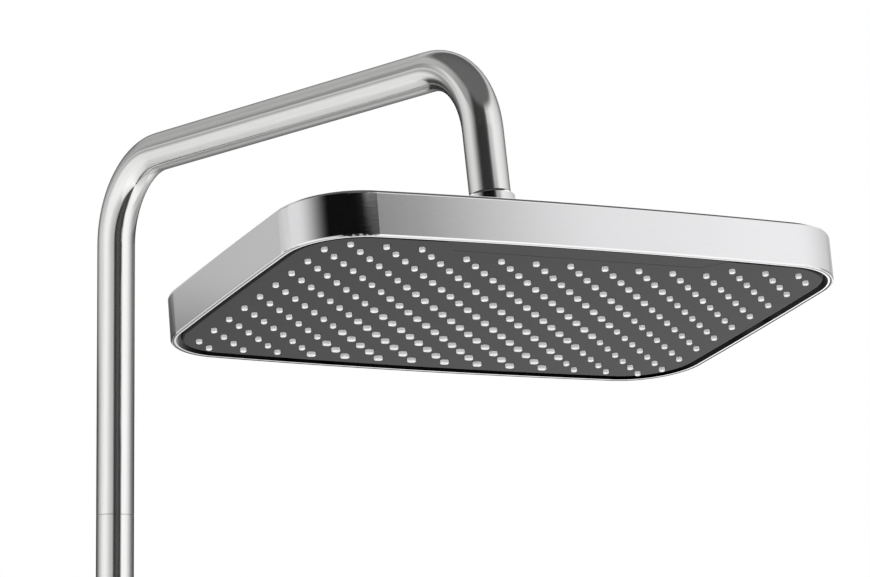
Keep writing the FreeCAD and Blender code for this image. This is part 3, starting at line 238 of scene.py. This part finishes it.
finishes = {
    # Satin tube of the riser and arm.
    satin_tube(): "upper_tube lower_tube",
    # Drawn stainless shell, buffed smooth round its sides: clear reflections, a trace of haze, and
    # a near-black line of painted shade at the inner edge of its lip, standing in for the shade in
    # the groove there.
    painted_shade_lip(grained("buffed_stainless_shell", "#eeeeef", "#e8e8ea", 0.6, (0.12, 0.12, 1),
                     HEAD_TURN, (0.04, 0.06), Metallic=1.0), 0.9, "#0c0c0d"):
        "head_shell",
    # Chrome plating on the thin trim round the spray face: a mirror, and near black where it lies
    # deeper in the head than 0.16 mm: painted shade standing in for the shade in its grooves and
    # gap.
    painted_shade_behind(grained("chrome_plated_trim", "#f2f3f4", "#e9eaec", 4, rough=(0.03, 0.06),
                        Metallic=1.0), 0.16, "#0c0c0d"):
        "trim_ring",
    # Polished stainless of the joint under the tube: clear reflections.
    grained("polished_stainless", "#eeeeee", "#dedede", 2, rough=(0.05, 0.10), Metallic=1.0):
        "ball_stem joint_nut lock_nut",
    # Fittings at the wall and the inlet and the ring at the seam: turned, then brushed, a little
    # greyer and duller than the tube.
    grained("brushed_stainless_fittings", "#cdcdcc", "#bababa", 0.5, (1, 1, 0.15),
            rough=(0.16, 0.26), Metallic=1.0):
        "wall_rose bracket_post union_nut seam_washer",
    # Screws and pins: plain grey steel, half dull.
    grained("plain_stainless", "#bfbfbf", "#a6a6a6", 1.0, rough=(0.28, 0.40), Metallic=1.0):
        "post_screw ring_screw arm_stop_screw face_screws boss_screws rocker_pin",
    # Springs and clips: darker drawn wire with lines across it.
    grained("drawn_spring_wire", "#a9a9a9", "#8f8f90", 0.4, rough=(0.25, 0.35), Metallic=1.0):
        "bar_springs valve_spring bar_clips",
    # Strainer: thin pale sheet.
    grained("perforated_stainless", "#c4c4c4", "#b0b0b0", 0.5, rough=(0.2, 0.3), Metallic=1.0):
        "strainer_washer",
    # Machined brass behind the finish: warm yellow with turning marks.
    grained("machined_brass", "#d9bf7c", "#c2a45c", 0.3, (0.3, 0.3, 1), rough=(0.2, 0.32),
            Metallic=1.0):
        "wall_plate tail_piece swivel_spigot drop_nipple inlet_boss",
    # Spray face and selector bar: dark grey ABS with a fine spark-eroded grain.
    grained("grained_dark_abs", "#121214", "#0d0d0f", 0.35, turn=HEAD_TURN, rough=(0.3, 0.4),
            bump_mm=0.004, **{"IOR": 1.53, "Specular IOR Level": 0.08}):
        "face_plate selector_bar",
    # Soft nozzles: near-white silicone, dull; near black where they pass through the plate: painted
    # shade, which draws the shadowed ring round each one.
    painted_shade_behind(grained("moulded_silicone", "#fbfbfa", "#f4f4f2", 1.2, turn=HEAD_TURN,
                        rough=(0.45, 0.6), **{"IOR": 1.41, "Subsurface Weight": 0.6,
                                              "Subsurface Radius": (1, 1, 1),
                                              "Subsurface Scale": 0.8 * MM}), 0.95, "#101011"):
        "nozzle_mat",
    # Water chamber, its cover and the valve's cage: dull black moulding.
    grained("moulded_black_abs", "#2b2b2d", "#222224", 0.8, rough=(0.4, 0.55), IOR=1.53):
        "spray_chamber manifold_cover valve_cage",
    # Bearings and the valve's working parts: smooth off-white plastic.
    grained("white_acetal", "#f1f0ec", "#e5e4df", 1.5, rough=(0.3, 0.42), IOR=1.48):
        "ring_liner ball_slip_ring ball_seat swivel_bush selector_rocker valve_stem flow_regulator",
    # Washers and O-rings: dull black rubber.
    grained("black_rubber", "#1d1d1e", "#141415", 0.5, rough=(0.55, 0.7), IOR=1.52):
        "union_washer joint_washer swivel_o_rings boss_o_ring stem_seal valve_washer",
}
for finish, names in finishes.items():
    for name in names.split():
        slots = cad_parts[name].data.materials
        slots.clear()
        slots.append(finish)
left_plain = [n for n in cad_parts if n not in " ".join(finishes.values()).split()]
assert not left_plain, left_plain

# The photograph's riser mirrors only the studio, so the head is kept out of mirror images.
for name in ("head_shell trim_ring face_plate nozzle_mat selector_bar spray_chamber face_screws "
             "manifold_cover inlet_boss boss_screws lock_nut valve_cage valve_stem").split():
    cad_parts[name].visible_glossy = False


# ---------------------------------------------------------------- studio

FLOOR_RADIUS = 4.0
FLOOR_GAP = 0.5 * MM
FADE = (0.9, 3.6)       # distances from the middle between which the floor melts into the white
floor_z = cad_box[0].z - FLOOR_GAP
floor_middle = (0, -0.25, floor_z)
bpy.ops.object.select_all(action="DESELECT")
bpy.ops.mesh.primitive_circle_add(vertices=96, radius=FLOOR_RADIUS, fill_type="NGON",
                                  location=floor_middle)
floor = bpy.context.active_object
floor.name = "pale_floor"
bpy.ops.object.transform_apply(location=True, rotation=True, scale=True)

# Matt white, faintly mottled like paper. It keeps the shadow and doesn't show in the metal.
paint = bpy.data.materials.new("matt_white_floor")
paint.use_nodes = True
tree = paint.node_tree
tree.nodes.clear()
place = node(tree, "ShaderNodeTexCoord").outputs["Object"]
paper = node(tree, "ShaderNodeTexNoise", {"Scale": 60.0, "Detail": 2.0}, {"Vector": place})
tone = node(tree, "ShaderNodeMix", {"data_type": "RGBA", 6: linear("#f4f4f4"),
                                    7: linear("#f8f8f8")}, {0: paper.outputs["Fac"]})
matt = node(tree, "ShaderNodeBsdfDiffuse", None, {"Color": tone.outputs[2]})
gone = node(tree, "ShaderNodeBsdfTransparent")
middle = node(tree, "ShaderNodeVectorMath", {"operation": "DISTANCE", 1: floor_middle},
              {0: place})
fade = node(tree, "ShaderNodeMapRange", {"interpolation_type": "SMOOTHSTEP", "From Min": FADE[0],
                                         "From Max": FADE[1]}, {"Value": middle.outputs["Value"]})
ray = node(tree, "ShaderNodeLightPath")
unseen = node(tree, "ShaderNodeMath", {"operation": "MAXIMUM"},
              {0: fade.outputs["Result"], 1: ray.outputs["Is Glossy Ray"]})
blend = node(tree, "ShaderNodeMixShader", None,
             {0: unseen.outputs["Value"], 1: matt.outputs["BSDF"], 2: gone.outputs["BSDF"]})
node(tree, "ShaderNodeOutputMaterial", None, {"Surface": blend.outputs["Shader"]})
floor.data.materials.append(paint)

# The studio that the metal mirrors: white walls at both sides that fade towards the far end of
# the room, and one tall black card behind the camera with a faint sheen down its middle. Each
# ring lays this out at one height, in a few (degrees, brightness) stops with a smooth fade from
# each to the next: 0 is behind the camera, plus is to its right, minus to its left. CARD, which
# four rings share, is the card with the wall's edge on each side of it.
CAMERA_BACK = Vector((-0.586510, -0.809949, 0))
CAMERA_RIGHT = Vector((0.810583, -0.585585, 0))
CARD = [(-60, 1.08), (-15, .56), (-3, .012), (15, .065), (33, .015), (46, 1.16), (64, 1.16)]
LOW_RING = [(-180, .08), (-148, .1), *CARD, (130, .19), (180, .08)]
MIDDLE_RING = [(-180, .22), (-174, .22), (-95, .8), *CARD, (130, .21), (138, .22), (160, .58),
               (180, .22)]
HIGH_RING = [(-180, .58), (-119, .55), (-112, .32), (-98, .84), (-84, .83), (-31, .004),
             (28, .004), (42, .08), (59, .92), (66, 1), (165, .61), (180, .58)]
TALL_RING = [(-180, 1.7), (-130, .6), (-62, .35), (-36, .015), (10, .015), (19, .07), (33, .68),
             (60, 1), (128, .8), (180, 1.7)]
SIDE_RING = [(-180, .8), (-173, .67), (-168, .07), (-132, .07), (-118, .94), *CARD, (122, .4),
             (150, .6), (168, 1.2), (177, 1.1), (180, .8)]
BELOW_RING = [(-180, .8), (-173, .95), (-156, .42), (-137, .81), (-126, .81), (-114, 1), *CARD,
              (122, .6), (150, .8), (168, 1.2), (177, 1.2), (180, .8)]
FLOOR_RING = [(-180, .8), (-156, .35), (-130, .9), (-66, 1.2), (-24, 1), (-5, .05), (35, .05),
              (51, 1.1), (90, 1.15), (180, .8)]
CEILING_RING = [(-180, .12), (180, .12)]

# The rings above the floor, each with the heights in degrees between which it takes over.
RISING = [(BELOW_RING, -50, -40), (SIDE_RING, -25, -19), (LOW_RING, -5, 4),
          (MIDDLE_RING, 8.0, 9.4), (HIGH_RING, 11.5, 14), (TALL_RING, 26.9, 27.6),
          (CEILING_RING, 40, 52)]

room = bpy.data.worlds.new("white_studio")
bpy.context.scene.world = room
room.use_nodes = True
tree = room.node_tree
tree.nodes.clear()
way = node(tree, "ShaderNodeTexCoord").outputs["Generated"]
level = node(tree, "ShaderNodeSeparateXYZ", None, {"Vector": way}).outputs["Z"]
to_right, to_back = (node(tree, "ShaderNodeVectorMath", {"operation": "DOT_PRODUCT", 1: side},
                          {0: way}).outputs["Value"] for side in (CAMERA_RIGHT, CAMERA_BACK))
bearing = node(tree, "ShaderNodeMath", {"operation": "ARCTAN2"}, {0: to_right, 1: to_back})
round_room = node(tree, "ShaderNodeMapRange", {"From Min": -math.pi, "From Max": math.pi},
                  {"Value": bearing.outputs["Value"]})


def ring(stops):
    """Brightness round the room from (degrees, level) stops, with smooth fades between them."""
    ramp = node(tree, "ShaderNodeValToRGB", None, {"Fac": round_room.outputs["Result"]})
    band = ramp.color_ramp
    band.interpolation = "EASE"
    for k, (degrees, strength) in enumerate(stops):
        at = (degrees + 180) / 360
        stop = band.elements[k] if k < 2 else band.elements.new(at)
        stop.position = at
        stop.color = (strength, strength, strength, 1)
    return ramp.outputs["Color"]


def meet(lower, upper, low_degrees, high_degrees):
    """Two rings with a soft change between two heights."""
    low, high = math.sin(math.radians(low_degrees)), math.sin(math.radians(high_degrees))
    share = node(tree, "ShaderNodeMapRange", {"interpolation_type": "SMOOTHSTEP", "From Min": low,
                                              "From Max": high}, {"Value": level})
    mixed = node(tree, "ShaderNodeMix", {"data_type": "RGBA"},
                 {0: share.outputs["Result"], 6: lower, 7: upper})
    return mixed.outputs[2]


around = ring(FLOOR_RING)
for stops, low_degrees, high_degrees in RISING:
    around = meet(around, ring(stops), low_degrees, high_degrees)
ray = node(tree, "ShaderNodeLightPath")
# The camera sees plain white, mirror reflections see the rings, and matt surfaces get even light.
white = node(tree, "ShaderNodeBackground", {"Color": (1, 1, 1, 1), "Strength": 1.0})
mirrored = node(tree, "ShaderNodeBackground", {"Strength": 1.0}, {"Color": around})
ambient = node(tree, "ShaderNodeBackground", {"Color": (1, 1, 1, 1), "Strength": 0.95})
lit = node(tree, "ShaderNodeMixShader", None,
           {0: ray.outputs["Is Glossy Ray"], 1: ambient.outputs[0], 2: mirrored.outputs[0]})
plain_white = node(tree, "ShaderNodeMath", {"operation": "MAXIMUM"},
                   {0: ray.outputs["Is Camera Ray"], 1: ray.outputs["Is Transmission Ray"]})
seen = node(tree, "ShaderNodeMixShader", None,
            {0: plain_white.outputs["Value"], 1: lit.outputs[0], 2: white.outputs[0]})
node(tree, "ShaderNodeOutputWorld", None, {"Surface": seen.outputs[0]})

# Two broad softboxes shape the matt pieces and cast the shadow; the metal doesn't mirror them.
LAMP_SIZE = 1.6
LAMP_AIM = Vector((0, -0.3, 0.1))
for name, place, watts in (("key_softbox", Vector((-1.6, -2.0, 2.2)), 30),
                           ("fill_softbox", Vector((2.2, -1.2, 1.2)), 12)):
    lamp = bpy.data.lights.new(name, "AREA")
    lamp.shape = "DISK"
    lamp.size = LAMP_SIZE
    lamp.energy = watts
    stand = bpy.data.objects.new(name, lamp)
    stand.location = place
    stand.rotation_euler = (LAMP_AIM - place).to_track_quat("-Z", "Y").to_euler()
    stand.visible_glossy = False
    bpy.context.scene.collection.objects.link(stand)

# The photograph's camera, fitted to the head's edges, the rows of nozzles and the tube's lines.
eye = bpy.data.cameras.new("photo_camera")
eye.sensor_width = 36.0
eye.lens = 201.4754
eye.clip_start = 0.05
eye.clip_end = 50.0
camera = bpy.data.objects.new("photo_camera", eye)
camera.location = (-1.4453128, -2.3631645, -0.2243767)
camera.rotation_euler = [math.radians(a) for a in (99.4521775, 0.3857323, -35.8452913)]
bpy.context.scene.collection.objects.link(camera)
bpy.context.scene.camera = camera
bpy.context.scene.view_settings.view_transform = "Standard"
